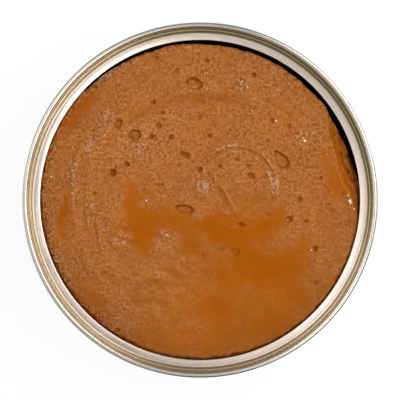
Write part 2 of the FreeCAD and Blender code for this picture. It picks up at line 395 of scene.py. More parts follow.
def attribute(tree, name, kind="FLOAT"):
    return add(tree, "GeometryNodeInputNamedAttribute", {"Name": name}, data_type=kind).outputs[0]


def stored(tree, geometry, name, value, kind="FLOAT"):
    """The geometry with this value on each of its points."""
    inputs = {"Geometry": geometry, "Name": name, "Value": value}
    node = add(tree, "GeometryNodeStoreNamedAttribute", inputs, data_type=kind, domain="POINT")
    return node.outputs[0]


def moved(tree, geometry, offset):
    return add(tree, "GeometryNodeSetPosition", {"Geometry": geometry, "Offset": offset}).outputs[0]


def scattered(tree, surface, density, seed):
    inputs = {"Mesh": surface, "Density": density, "Seed": seed}
    return add(tree, "GeometryNodeDistributePointsOnFaces", inputs).outputs["Points"]


def random_number(tree, low, high, seed):
    inputs = {2: low, 3: high, "Seed": seed}
    return add(tree, "FunctionNodeRandomValue", inputs, data_type="FLOAT").outputs[1]


def random_vector(tree, low, high, seed):
    inputs = {0: low, 1: high, "Seed": seed}
    return add(tree, "FunctionNodeRandomValue", inputs, data_type="FLOAT_VECTOR").outputs[0]


def new_object(name, data):
    item = bpy.data.objects.new(name, data)
    bpy.context.collection.objects.link(item)
    return item


def set_values(mesh, label, values):
    """Gives each vertex of a mesh its value under this label."""
    mesh.attributes.new(label, "FLOAT", "POINT").data.foreach_set("value", values)


def shape_by_nodes(name, mesh, tree, values):
    """The plain mesh object that a geometry tree makes of mesh with these named inputs."""
    source = new_object(name + ".source", mesh)
    modifier = source.modifiers.new("shape", "NODES")
    modifier.node_group = tree
    for item in tree.interface.items_tree:
        if item.item_type == "SOCKET" and item.in_out == "INPUT" and item.name in values:
            modifier[item.identifier] = values[item.name]
    evaluated = source.evaluated_get(bpy.context.evaluated_depsgraph_get())
    result = bpy.data.meshes.new_from_object(evaluated)
    source.modifiers.remove(modifier)
    bpy.data.objects.remove(source)
    result.name = name
    return new_object(name, result)


def face_outwards(mesh):
    """Turns the whole mesh round if its faces point inwards."""
    mesh.calc_loop_triangles()
    points = np.empty(len(mesh.vertices) * 3)
    mesh.vertices.foreach_get("co", points)
    corners = np.empty(len(mesh.loop_triangles) * 3, dtype=int)
    mesh.loop_triangles.foreach_get("vertices", corners)
    a, b, c = points.reshape(-1, 3)[corners.reshape(-1, 3)].transpose(1, 0, 2)
    if np.einsum("ij,ij->i", a, np.cross(b, c)).sum() < 0:
        mesh.flip_normals()


def shade_smooth(mesh, sharp_degrees=40):
    mesh.polygons.foreach_set("use_smooth", [True] * len(mesh.polygons))
    mesh.set_sharp_from_angle(angle=math.radians(sharp_degrees))


# ---------------------------------------------------------------------------- turned sheets


def folded_outline(corners, sheet, bevel=0.0):
    """Closed outline of a folded sheet, each point a complex radius + height.

    corners are (radius, height, bend radius) at mid-thickness. The left face may start later
    than the right one, by bevel.
    """
    arc_step = math.radians(12)
    points = [complex(radius, height) for radius, height, _ in corners]
    runs = [(b - a) / abs(b - a) for a, b in zip(points, points[1:])]
    outline = []
    for side in (1, -1):
        offset = side * sheet / 2
        line = [points[0] + runs[0] * (1j * offset + (bevel if side > 0 else 0))]
        for i in range(1, len(points) - 1):
            turn = cmath.phase(runs[i] / runs[i - 1])
            inward = math.copysign(1, turn)
            bend = corners[i][2]
            centre = points[i] + runs[i - 1] * (1j * inward * bend - bend * math.tan(abs(turn) / 2))
            arm = -1j * runs[i - 1] * (inward * bend - offset)
            steps = max(2, math.ceil(abs(turn) / arc_step))
            line += [centre + arm * cmath.rect(1, turn * k / steps) for k in range(steps + 1)]
        line.append(points[-1] + 1j * runs[-1] * offset)
        outline += line[::side]
    return outline


def turning_tree():
    """Turns a closed outline in the XZ plane about Z, with waves in the sheet and a burr."""
    tree, given, result = geometry_tree(
        "Turned sheet",
        [
            ("Outline", "NodeSocketGeometry", None),
            ("Segments", "NodeSocketInt", 360),
            ("Waves", "NodeSocketFloat", 0.0),
            ("Wave length", "NodeSocketFloat", 12 * MM),
            ("Burr", "NodeSocketFloat", 0.0),
            ("Jags per metre", "NodeSocketFloat", 1300.0),
            ("Seed", "NodeSocketFloat", 1.0),
        ],
    )
    place = position(tree)
    profile = stored(tree, given["Outline"], "outline", place, "FLOAT_VECTOR")
    profile = add(tree, "GeometryNodeMeshToCurve", {"Mesh": profile}).outputs[0]
    index = add(tree, "GeometryNodeInputIndex").outputs[0]
    turn = product(tree, maths(tree, "DIVIDE", index, given["Segments"]), math.tau)
    rail = add(tree, "GeometryNodeCurvePrimitiveCircle", {"Resolution": given["Segments"]})
    rail = stored(tree, rail.outputs["Curve"], "turn", turn)
    swept = add(tree, "GeometryNodeCurveToMesh", {"Curve": rail, "Profile Curve": profile}).outputs[0]
    angle = attribute(tree, "turn")
    radius, _, height = axes(tree, attribute(tree, "outline", "FLOAT_VECTOR"))
    x = product(tree, radius, maths(tree, "COSINE", angle))
    y = product(tree, radius, maths(tree, "SINE", angle))
    spot = add(tree, "ShaderNodeCombineXYZ", {0: x, 1: y, 2: height}).outputs[0]
    turned = add(tree, "GeometryNodeSetPosition", {"Geometry": swept, "Position": spot}).outputs[0]
    # Slow waves move the whole thickness together, and vanish where the outline says to keep still
    frequency = maths(tree, "DIVIDE", 1.0, given["Wave length"])
    wave = maths(tree, "SUBTRACT", noise(tree, place, frequency, detail=1.0, W=given["Seed"]), 0.5)
    wave = product(tree, wave, given["Waves"], attribute(tree, "loose"))
    waved = moved(tree, turned, along_z(tree, wave))
    # The torn edge is jagged along the circle
    jag = noise(tree, place, given["Jags per metre"], detail=3.0, roughness=0.7, W=given["Seed"])
    jag = maths(tree, "SUBTRACT", jag, 0.5)
    jag = product(tree, jag, given["Burr"], attribute(tree, "torn"))
    outward = vector_maths(tree, "NORMALIZE", level(tree, place))
    jagged = moved(tree, waved, scaled(tree, outward, jag))
    merged = add(tree, "GeometryNodeMergeByDistance", {"Geometry": jagged, "Distance": 0.001 * MM})
    close_tree(tree, given, result, merged.outputs[0])
    return tree


def turned_piece(name, outline, torn, loose, finish, segments, **values):
    """Turns an outline; torn and loose say per point where it is jagged and where it waves."""
    mesh = bpy.data.meshes.new(name + ".outline")
    count = len(outline)
    edges = [(i, (i + 1) % count) for i in range(count)]
    mesh.from_pydata([(point.real, 0.0, point.imag) for point in outline], edges, [])
    set_values(mesh, "torn", torn)
    set_values(mesh, "loose", loose)
    tree = bpy.data.node_groups.get("Turned sheet") or turning_tree()
    piece = shape_by_nodes(name, mesh, tree, {"Segments": segments, "Finish": finish, **values})
    face_outwards(piece.data)
    shade_smooth(piece.data)
    return piece


# ---------------------------------------------------------------------------- pate relief


def ease(value, low, high):
    """0 below low, 1 above high, eased between them; low may be the greater."""
    t = np.clip((value - low) / (high - low), 0, 1)
    return t * t * (3 - 2 * t)


def blobs(x, y, size, seed):
    """Smooth noise from -1 to 1 with blobs of about this size, in mm."""
    rng = np.random.default_rng(seed)
    side = 256
    lattice = rng.uniform(-1, 1, (side, side))
    angle = rng.uniform(0, math.tau)
    u = (x * math.cos(angle) - y * math.sin(angle)) / size + side / 2
    v = (x * math.sin(angle) + y * math.cos(angle)) / size + side / 2
    i, j = np.floor(u).astype(int), np.floor(v).astype(int)
    s, t = ease(u - i, 0, 1), ease(v - j, 0, 1)
    i, j, k, m = i % side, j % side, (i + 1) % side, (j + 1) % side
    low = lattice[i, j] * (1 - s) + lattice[k, j] * s
    high = lattice[i, m] * (1 - s) + lattice[k, m] * s
    return low * (1 - t) + high * t


def void_edge(azimuth):
    """Radius of the filling's edge in mm, for azimuths in degrees; the wall if there is no void."""
    knots, radii = zip(*VOID_EDGE)
    around = (azimuth - knots[0]) % 360 + knots[0]
    place = np.interp(around, knots, np.arange(len(knots)))
    step = np.minimum(place.astype(int), len(knots) - 2)
    radii = np.array(radii)
    edge = radii[step] + (radii[step + 1] - radii[step]) * ease(place - step, 0, 1)
    turn = np.radians(azimuth)
    ripple = blobs(30 * np.cos(turn), 30 * np.sin(turn), 1.7, 3)
    fine = blobs(30 * np.cos(turn), 30 * np.sin(turn), 0.6, 4)
    return edge + (0.13 * ripple + 0.11 * fine) * ease(edge, 41.0, 39.0)


def tilted(x, y, centre_x, centre_y, tilt):
    """Distances from a centre, along and across a line at tilt degrees from +X."""
    turn = math.radians(tilt)
    along = (x - centre_x) * math.cos(turn) + (y - centre_y) * math.sin(turn)
    across = (y - centre_y) * math.cos(turn) - (x - centre_x) * math.sin(turn)
    return along, across


def patch(x, y, centre_x, centre_y, half_length, half_width, tilt):
    """1 inside a soft-edged oval, 0 outside."""
    along, across = tilted(x, y, centre_x, centre_y, tilt)
    return ease(np.hypot(along / half_length, across / half_width), 1.3, 0.3)


def patches(x, y, entries):
    total_amount = np.zeros_like(x)
    for *oval, amount in entries:
        total_amount += patch(x, y, *oval) * amount
    return total_amount


def arc_weight(x, y, centre_x, centre_y, radius, start, sweep, width):
    """1 along the middle of an arc, fading across it and towards its ends."""
    away = np.hypot(x - centre_x, y - centre_y) - radius
    along = (np.degrees(np.arctan2(y - centre_y, x - centre_x)) - start) % 360 / sweep
    ends = ease(along, 0, 0.18) * ease(along, 1.0, 0.82)
    return np.exp(-((away / (width / 2)) ** 2)) * ends


def pore_reach(x, y, centre_x, centre_y, length, width, tilt, taper):
    """How far out of an uneven oval or drop each point is: 1 on its rim."""
    along, across = tilted(x, y, centre_x, centre_y, tilt)
    around = np.arctan2(across, along)
    uneven = 1 + 0.03 * np.sin(3 * around + centre_x) + 0.02 * np.sin(5 * around + centre_y)
    across = across / np.clip(1 + taper * along / (length / 2), 0.3, 2)
    return np.hypot(along / (length / 2), across / (width / 2)) * uneven


class Relief:
    """The filling's top at x and y in mm: height above its level, and masks for the finish.

    Each method adds one kind of mark, in the order in which they overlay each other.
    """

    # The masks carry painted light too: painted shade in the stain and where the surface is low, painted
    # shade and highlight in the tone, and painted glints in the flecks
    MASKS = ("oil", "tone", "flecks_and_glints", "grain", "stain_and_shade", "surface")

    def __init__(self, x, y):
        self.x, self.y = x, y
        self.radius = np.hypot(x, y)
        self.edge = void_edge(np.degrees(np.arctan2(y, x)))
        self.stain_and_shade = np.zeros_like(x)
        self.spread_oil_and_flecks()
        self.shade_zones()
        self.swell()
        self.press_arcs()
        self.sink_pores()
        self.round_void_lip()
        self.break_slope()
        self.darken_rim()

    def spread_oil_and_flecks(self):
        x, y = self.x, self.y
        warp_x = x + 1.3 * blobs(x, y, 3.1, 11) + 0.7 * blobs(x, y, 1.2, 12)
        warp_y = y + 1.3 * blobs(x, y, 3.3, 13) + 0.7 * blobs(x, y, 1.0, 14)
        oil = patches(warp_x, warp_y, OIL) + 0.12 * blobs(x, y, 1.6, 15) + 0.08 * blobs(x, y, 0.7, 16)
        self.oil = 1 - np.exp(-1.35 * np.maximum(oil, 0))
        self.flecks_and_glints = patches(warp_x, warp_y, FLECKS)
        self.flecks_and_glints = self.flecks_and_glints + 0.6 * blobs(x, y, 4.0, 21) + 0.7 * blobs(x, y, 1.7, 22)
        self.flecks_and_glints -= 0.9 * ease(self.radius, 30, 37) * ease(y, 26, 8)

    def shade_zones(self):
        """Darker and lighter zones with painted shade towards the rim, the smooth lower right, and
        painted sheen in streaks at the lower left.
        """
        x, y, radius = self.x, self.y, self.radius
        # Tone at random, painted shade towards the rim, most at the bottom, and darker towards the
        # bottom
        tone = 0.3 * blobs(x, y, 5.0, 24) - (0.4 + 0.6 * ease(y, 10, -5)) * ease(radius, 29, 41)
        tone -= 0.4 * ease(y, 6, -34)
        smooth = ease(y + 0.35 * x + 3 * blobs(x, y, 6, 23), 3, -16) * ease(x, -28, -4)
        self.grain = np.clip(1 - 1.05 * self.oil, 0.08, 1) * (1 - 0.4 * smooth)
        self.flecks_and_glints -= 0.5 * smooth
        # Painted sheen: diagonal streaks at the lower left, lighter and with more flecks
        drift, across = x - 0.4 * y, y + 0.4 * x
        streaks_and_sheen = blobs(0.35 * drift, across, 1.3, 25) + 0.6 * blobs(0.4 * drift, across, 0.7, 26)
        streak_zone = ease(np.hypot(x + 13, y + 17), 17, 8)
        self.flecks_and_glints += 1.4 * streaks_and_sheen * streak_zone
        tone += 0.5 * streaks_and_sheen * streak_zone
        left = ease(radius, 25, 34) * ease(x, -12, -24)
        lower_right = ease(radius, 31, 38) * ease(0.7 * x - y, 18, 34)
        # Lighter at the lower right, darker at the left, and more painted shade along the rim at the
        # bottom
        tone += 0.1 * lower_right - 0.3 * left - 0.5 * ease(radius, 34, 39) * ease(y, -14, -26)
        self.flecks_and_glints += 0.4 * lower_right + 0.3 * left
        tone += 0.4 * patch(x, y, -12, 17, 15, 10, 35)
        self.tone = tone

    def swell(self):
        """Slow swells over the whole top, and small lumps where the paste is grainy."""
        x, y = self.x, self.y
        self.height = 0.10 * blobs(x, y, 13.0, 31) + 0.05 * blobs(x, y, 4.5, 32)
        self.height += (0.030 * blobs(x, y, 1.7, 33) + 0.020 * blobs(x, y, 0.8, 34)) * self.grain
        self.height -= 0.05 * self.oil

    def press_arcs(self):
        """Ridges with flecks on them, and furrows with oil in them."""
        x = self.x + 0.12 * blobs(self.x, self.y, 2.0, 41)
        y = self.y + 0.12 * blobs(self.x, self.y, 2.0, 42)
        for *arc, rise in ARCS:
            weight = arc_weight(x, y, *arc)
            self.height += rise * weight
            self.tone += (8 if rise > 0 else 4) * rise * weight
            self.flecks_and_glints += (6 if rise > 0 else 7) * rise * weight
            self.grain = np.maximum(self.grain, min(max(7 * rise, 0), 1) * weight)
            self.oil = np.maximum(self.oil, min(max(-4 * rise, 0), 0.8) * weight)

    def sink_pores(self):
        """Pores with a low collar round them, the lighter ones with a dome of paste inside, and painted
        shade on their walls, thicker on the upper right.
        """
        x, y = self.x, self.y
        sunk = np.zeros_like(x)
        for *oval, depth, light, taper in PORES:
            length, width = oval[2:4]
            reach = pore_reach(x, y, *oval, taper)
            small = 0.42 / min(length, width)
            inside = ease(reach, 1 + 0.5 * small, 1 - 1.6 * small)
            lit = pore_reach(x + 0.06 * width, y + 0.06 * width, *oval, taper)
            dome = ease(lit, 1 - 0.8 * small, 0.9 - 2.0 * small) * light
            sunk = np.maximum(sunk, depth * (inside - 0.4 * dome))
            self.height += 0.04 * np.exp(-(((reach - 1 - 1.3 * small) / small) ** 2))
            # Painted shade on the pore's wall, less where its floor is light
            shade = (0.55 + 0.45 * min(length / 2.4, 1)) * (1 - 0.25 * light)
            shade = shade * ease(reach, 1 + 0.2 * small, 1 - 0.6 * small) * (1 - dome)
            self.stain_and_shade = np.maximum(self.stain_and_shade, shade)
            self.flecks_and_glints -= 1.3 * (1 - light) * ease(reach, 1 + 0.6 * small, 1 - 0.4 * small)
        self.height -= sunk

    def round_void_lip(self):
        radius, edge = self.radius, self.edge
        self.flecks_and_glints += 0.8 * ease(radius, edge - 1.6, edge - 0.5) * ease(edge, 40.0, 39.0)
        self.height -= 0.35 * ease(radius, edge - 0.55, edge) ** 2 * ease(edge, 41.0, 39.5)

    def break_slope(self):
        """The paste falls away past a bowed line beside the void, streaky, cracked and oily, with
        painted shade on its faces and in its cracks and a painted highlight along its crest.
        """
        x, y = self.x, self.y
        along, across = tilted(x, y, 0, 0, SLOPE_AZIMUTH)
        bow = SLOPE_BOW * np.maximum(1 - (across / SLOPE_HALF_LENGTH) ** 2, 0)
        past = along - SLOPE_DISTANCE + bow + 0.25 * blobs(x, y, 3.0, 51) + 0.15 * blobs(x, y, 0.9, 52)
        broken = ease(past, -0.15, 0.35)
        streaks = blobs(1.6 * past, 0.35 * across, 1.0, 53)
        mottles = blobs(x, y, 0.9, 54)
        self.height = self.height * (1 - broken) - np.maximum(past, 0) * SLOPE_FALL
        self.height += (0.22 * streaks + 0.20 * mottles) * broken
        crest = np.exp(-(((past + 0.35) / 0.35) ** 2)) * ease(self.edge, 41.5, 40.0)
        self.height += 0.12 * crest
        # A painted highlight lightens the crest, beside a real low ridge
        self.tone += 1.4 * crest * (1 - broken) * ease(across, 4, -9) + 0.5 * crest
        self.flecks_and_glints += 1.5 * crest * ease(across, 2, -9)
        self.oil = np.maximum(self.oil, 0.75 * broken * ease(past, 2.2, 0.8))
        # Painted shade in the cracks and on the faces that fall away
        cracks = ease(0.8 * streaks + 0.5 * mottles, -0.2, -0.75) * ease(past, 0.5, 1.6)
        faces = (1 - cracks) * 0.35 * ease(past, 0.7, 2.4)
        self.stain_and_shade = np.maximum(self.stain_and_shade, broken * (0.85 * cracks + faces))
        self.grain = np.maximum(self.grain, 0.9 * crest * ease(across, 2, -9))
        self.broken, self.cracks = broken, cracks

    def darken_rim(self):
        """A painted shadow, over a real dip, where the paste meets the torn edge, and a ragged, speckled
        left edge.
        """
        x, y = self.x, self.y
        lower = ease(-y, -4, 24)
        contact = ease(self.radius + 0.25 * blobs(x, y, 1.0, 61) + 0.25 * lower, 38.7, 39.4)
        contact = contact * ease(self.edge, 39.0, 40.0)
        self.height -= 0.25 * contact
        # Painted shadow under the torn edge
        self.stain_and_shade = np.maximum(self.stain_and_shade, 0.9 * contact)
        ragged = ease(self.radius + 0.5 * blobs(x, y, 0.9, 62), 36.4, 38.4) * ease(x, -12, -26)
        speckles = ease(blobs(x, y, 0.42, 63) + 0.4 * blobs(x, y, 1.1, 64), 0.1, 0.7)
        self.stain_and_shade = np.maximum(self.stain_and_shade, 0.85 * speckles * ragged)
        self.flecks_and_glints += 1.8 * ragged
        self.height += 0.25 * blobs(x, y, 0.8, 65) * ragged
        # Near-black painted shade under the lower torn edge and in the slope's cracks
        self.surface = 1 - np.maximum(0.7 * contact * lower, 0.45 * self.cracks * self.broken)
        self.flecks_and_glints -= 0.7 * self.broken


def disc_grid(cells):
    """A square grid bent to the unit disc: x, y, the quads, and the border's vertices in turn."""
    line = np.linspace(-1, 1, cells + 1)
    a, b = np.meshgrid(line, line)
    wide = np.abs(a) > np.abs(b)
    with np.errstate(divide="ignore", invalid="ignore"):
        angle = np.where(wide, math.pi / 4 * b / a, math.pi / 2 - math.pi / 4 * a / b)
    radius = np.where(wide, a, b)
    angle = np.nan_to_num(angle)
    index = np.arange((cells + 1) ** 2).reshape(cells + 1, cells + 1)
    quads = np.stack(
        [index[:-1, :-1], index[:-1, 1:], index[1:, 1:], index[1:, :-1]], axis=-1
    ).reshape(-1, 4)
    border = np.concatenate([index[0, :-1], index[:-1, -1], index[-1, :0:-1], index[:0:-1, 0]])
    return (radius * np.cos(angle)).ravel(), (radius * np.sin(angle)).ravel(), quads, border


def pate_mesh(cells, level_top, bottom):
    """The filling: a relief on its top, the void's wall beside it, and a plain hidden lower part."""
    unit_x, unit_y, quads, border = disc_grid(cells)
    unit = np.hypot(unit_x, unit_y)
    azimuth = np.degrees(np.arctan2(unit_y, unit_x))
    edge = np.minimum(void_edge(azimuth), PRINT_RADIUS)
    reach = PRINT_RADIUS + (edge - PRINT_RADIUS) * unit**8
    x, y = unit_x * reach, unit_y * reach
    relief = Relief(x, y)
    points = [np.stack([x, y, level_top + relief.height], axis=1)]
    faces = [quads]

    turn = np.radians(azimuth[border])
    rim, rim_z = np.hypot(x[border], y[border]), points[0][border, 2]
    void = ease(rim, 40.6, 39.2)
    depth = void * VOID_DEPTH + (1 - void) * PRINT_STEP
    rough = 0.22 * blobs(20 * turn, 0 * turn, 1.0, 71) * void
    rings = []
    for drop, out in FILLING_SIDE:
        ring_radius = rim + (WALL_RADIUS - rim) * out + rough * math.sin(9 * drop)
        rings.append((ring_radius, rim_z - depth * drop))
    rings.append((np.full_like(rim, WALL_RADIUS), level_top - depth))
    for ring_radius, ring_z in UNDERSIDE:
        rings.append((np.full_like(rim, ring_radius), np.full_like(rim, bottom + ring_z)))
    above, start, count = border, len(x), len(border)
    for ring_radius, ring_z in rings:
        ring = np.stack([ring_radius * np.cos(turn), ring_radius * np.sin(turn), ring_z], axis=1)
        below = np.arange(start, start + count)
        points.append(ring)
        faces.append(np.stack([above, below, np.roll(below, -1), np.roll(above, -1)], axis=1))
        above, start = below, start + count
    points.append(np.array([[0.0, 0.0, bottom + UNDERSIDE[-1][1]]]))
    fan = [(a, start, b) for a, b in zip(above, np.roll(above, -1))]

    mesh = bpy.data.meshes.new("pate.relief")
    mesh.from_pydata(np.concatenate(points) * MM, [], np.concatenate(faces).tolist() + fan)
    # The void's wall and the hidden parts get zero in every mask, and so take the near-black painted
    # shade of the depths
    hidden = np.zeros(sum(len(part) for part in points) - len(x))
    for label in Relief.MASKS:
        set_values(mesh, label, np.concatenate([getattr(relief, label), hidden]))
    return mesh


def pate_tree():
    """Raises grain on the filling and sinks small pores at random places, with painted shade in them."""
    tree, given, result = geometry_tree(
        "Pate surface",
        [
            ("Relief", "NodeSocketGeometry", None),
            ("Grain size", "NodeSocketFloat", 0.55 * MM),
            ("Grain height", "NodeSocketFloat", 0.08 * MM),
            ("Pores per square metre", "NodeSocketFloat", 20000.0),
            ("Smallest pore", "NodeSocketFloat", 0.2 * MM),
            ("Largest pore", "NodeSocketFloat", 0.5 * MM),
            ("Seed", "NodeSocketInt", 7),
        ],
    )
    place, surface, grain = position(tree), attribute(tree, "surface"), attribute(tree, "grain")
    frequency = maths(tree, "DIVIDE", 1.0, given["Grain size"])
    lumps = noise(tree, place, frequency, detail=3.0, roughness=0.6)
    lumps = maths(tree, "SUBTRACT", lumps, 0.5)
    lumps = product(tree, lumps, given["Grain height"], grain, surface)
    grainy = moved(tree, given["Relief"], along_z(tree, lumps))
    density = product(tree, surface, grain, given["Pores per square metre"])
    pores = scattered(tree, given["Relief"], density, given["Seed"])
    size = random_number(tree, given["Smallest pore"], given["Largest pore"], given["Seed"])
    pores = stored(tree, pores, "size", size)
    nearest = add(tree, "GeometryNodeSampleNearest", {"Geometry": pores}, domain="POINT").outputs[0]

    def at_nearest(value, kind):
        inputs = {"Geometry": pores, "Value": value, "Index": nearest}
        return add(tree, "GeometryNodeSampleIndex", inputs, data_type=kind, domain="POINT").outputs[0]

    apart = vector_maths(tree, "SUBTRACT", place, at_nearest(place, "FLOAT_VECTOR"))
    pore_size = at_nearest(attribute(tree, "size"), "FLOAT")
    reach = maths(tree, "DIVIDE", vector_maths(tree, "LENGTH", apart), pore_size)
    inside = product(tree, between(tree, reach, 1.15, 0.55), surface)
    sunk = moved(tree, grainy, along_z(tree, product(tree, inside, pore_size, -0.9)))
    # Painted shade inside the small pores
    stain_and_shade = maths(tree, "MAXIMUM", attribute(tree, "stain_and_shade"), product(tree, inside, 0.8))
    close_tree(tree, given, result, stored(tree, sunk, "stain_and_shade", stain_and_shade))
    return tree


def grain_shapes_group():
    """A small flattened grain on every point, no two alike."""
    if "Grain shapes" in bpy.data.node_groups:
        return bpy.data.node_groups["Grain shapes"]
    tree, given, result = geometry_tree(
        "Grain shapes",
        [
            ("Points", "NodeSocketGeometry", None),
            ("Size", "NodeSocketFloat", 0.2 * MM),
            ("Detail", "NodeSocketInt", 1),
            ("Seed", "NodeSocketInt", 5),
        ],
    )
    ball = add(tree, "GeometryNodeMeshIcoSphere", {"Radius": 1.0, "Subdivisions": given["Detail"]})
    stretch = random_vector(tree, (0.8, 0.6, 0.35), (1.5, 1.0, 0.6), given["Seed"])
    spin = random_vector(tree, (-0.3, -0.3, 0.0), (0.3, 0.3, math.tau), given["Seed"])
    scale = scaled(tree, stretch, given["Size"])
    placed = {"Points": given["Points"], "Instance": ball.outputs[0], "Scale": scale}
    placed = add(tree, "GeometryNodeInstanceOnPoints", placed).outputs[0]
    turned = add(tree, "GeometryNodeRotateInstances", {"Instances": placed, "Rotation": spin})
    close_tree(tree, given, result, turned.outputs[0])
    return tree


def grains_tree():
    """Scatters grains over faces by their density, and sets one on each loose point."""
    tree, given, result = geometry_tree(
        "Scattered grains",
        [
            ("Surface", "NodeSocketGeometry", None),
            ("Grains per square metre", "NodeSocketFloat", 250000.0),
            ("Smallest grain", "NodeSocketFloat", 0.08 * MM),
            ("Largest grain", "NodeSocketFloat", 0.22 * MM),
            ("Seed", "NodeSocketInt", 5),
        ],
    )
    density = product(tree, given["Grains per square metre"], attribute(tree, "scatter"))
    grains = scattered(tree, given["Surface"], density, given["Seed"])
    size = random_number(tree, given["Smallest grain"], given["Largest grain"], given["Seed"])
    glint_crumb = attribute(tree, "glint_crumb")
    loose = {"Mesh": given["Surface"], "Selection": maths(tree, "GREATER_THAN", glint_crumb, 0.0)}
    loose = add(tree, "GeometryNodeMeshToPoints", loose).outputs[0]
    joined = tree.nodes.new("GeometryNodeJoinGeometry")
    for points, spread, detail in ((grains, size, 1), (loose, glint_crumb, 3)):
        inputs = {"Points": points, "Size": spread, "Detail": detail}
        inputs |= {"Seed": given["Seed"], "Finish": given["Finish"]}
        shapes = add(tree, "GeometryNodeGroup", inputs, node_tree=grain_shapes_group())
        feed(tree, joined, {0: shapes.outputs[0]})
    close_tree(tree, given, result, joined.outputs[0])
    return tree


# ---------------------------------------------------------------------------- finishes


def new_material(name):
    material = bpy.data.materials.new(name)
    material.use_nodes = True
    tree = material.node_tree
    return material, tree, tree.nodes["Principled BSDF"]


def object_place(tree):
    return add(tree, "ShaderNodeTexCoord").outputs["Object"]


def mask(tree, label):
    return add(tree, "ShaderNodeAttribute", attribute_name=label).outputs["Fac"]


def bumped(tree, height, strength, distance):
    inputs = {"Height": height, "Strength": strength, "Distance": distance}
    return add(tree, "ShaderNodeBump", inputs).outputs[0]


def drawn_lines_group():
    """Fine lines on a turned sheet, long either round the can or up it, and slow smudges."""
    if "Drawn lines" in bpy.data.node_groups:
        return bpy.data.node_groups["Drawn lines"]
    tree, given, result = group_tree(
        "Drawn lines",
        "ShaderNodeTree",
        [
            ("Vector", "NodeSocketVector", None),
            ("Size around", "NodeSocketFloat", 10 * MM),
            ("Size across", "NodeSocketFloat", 0.1 * MM),
            ("Smudge size", "NodeSocketFloat", 10 * MM),
        ],
        [("Lines", "NodeSocketFloat"), ("Smudges", "NodeSocketFloat")],
    )
    flat = level(tree, given["Vector"])
    steps = maths(tree, "DIVIDE", SEAM_RADIUS, given["Size around"])
    around = scaled(tree, vector_maths(tree, "NORMALIZE", flat), steps)
    out_and_up = total(tree, vector_maths(tree, "LENGTH", flat), axes(tree, given["Vector"])[2])
    across = along_z(tree, maths(tree, "DIVIDE", out_and_up, given["Size across"]))
    stretched = vector_maths(tree, "ADD", around, across)
    lines = noise(tree, stretched, 1.0, detail=3.0, roughness=0.65)
    smudges = noise(tree, given["Vector"], maths(tree, "DIVIDE", 1.0, given["Smudge size"]), detail=3.0)
    feed(tree, result, {0: lines, 1: smudges})
    return tree


def shaded_groove(tree, base, place, groove, groove_shade, bare):
    """The sheet's colour with painted shade in the groove, most of it at one side, and bare beyond it.
    """
    inside, outside = groove
    flat = level(tree, place)
    radius = vector_maths(tree, "LENGTH", flat)
    side = facing(tree, vector_maths(tree, "NORMALIZE", flat), 55)
    # Painted shade, strongest on the side at azimuth 55
    deep = product(
        tree,
        between(tree, radius, inside, inside + 0.4 * MM),
        between(tree, radius, outside, outside - 0.25 * MM),
        between(tree, side, -0.2, 1.0, 0.55, 1.0),
    )
    beyond = between(tree, radius, outside - 0.1 * MM, outside + 0.2 * MM)
    return mixed(tree, beyond, mixed(tree, deep, base, groove_shade), bare)


def sheet_material(name, colours, roughness, anisotropy, size_around, size_across, relief, groove=None):
    """Lacquered or bare sheet with drawn lines; colours are clean and smudged.

    groove is the inner and outer radius of the painted shade down in the groove; a third
    colour is that painted shade's, and a fourth that of the sheet further out.
    """
    material, tree, shader = new_material(name)
    place = object_place(tree)
    inputs = {"Vector": place, "Size around": size_around, "Size across": size_across}
    inputs["Smudge size"] = 9 * MM
    drawn = add(tree, "ShaderNodeGroup", inputs, node_tree=drawn_lines_group()).outputs
    dull = between(tree, drawn["Smudges"], 0.35, 0.72)
    base = mixed(tree, dull, *colours[:2])
    if groove:
        base = shaded_groove(tree, base, place, groove, *colours[2:])
    streaks = between(tree, drawn["Lines"], 0.3, 0.7)
    shade = grey(tree, between(tree, streaks, 0.0, 1.0, 0.90, 1.0))
    rough = total(tree, product(tree, streaks, 0.10), roughness - 0.05, product(tree, dull, 0.06))
    outward = vector_maths(tree, "NORMALIZE", level(tree, place))
    inputs = {
        "Base Color": mixed(tree, 1.0, base, shade, "MULTIPLY"),
        "Roughness": rough,
        "Metallic": 1.0,
        "Anisotropic": anisotropy,
        "Anisotropic Rotation": 0.25 if size_around > size_across else 0.0,
        "Tangent": vector_maths(tree, "CROSS_PRODUCT", (0.0, 0.0, 1.0), outward),
        "Normal": bumped(tree, drawn["Lines"], relief, 0.01 * MM),
    }
    feed(tree, shader, inputs)
    return material


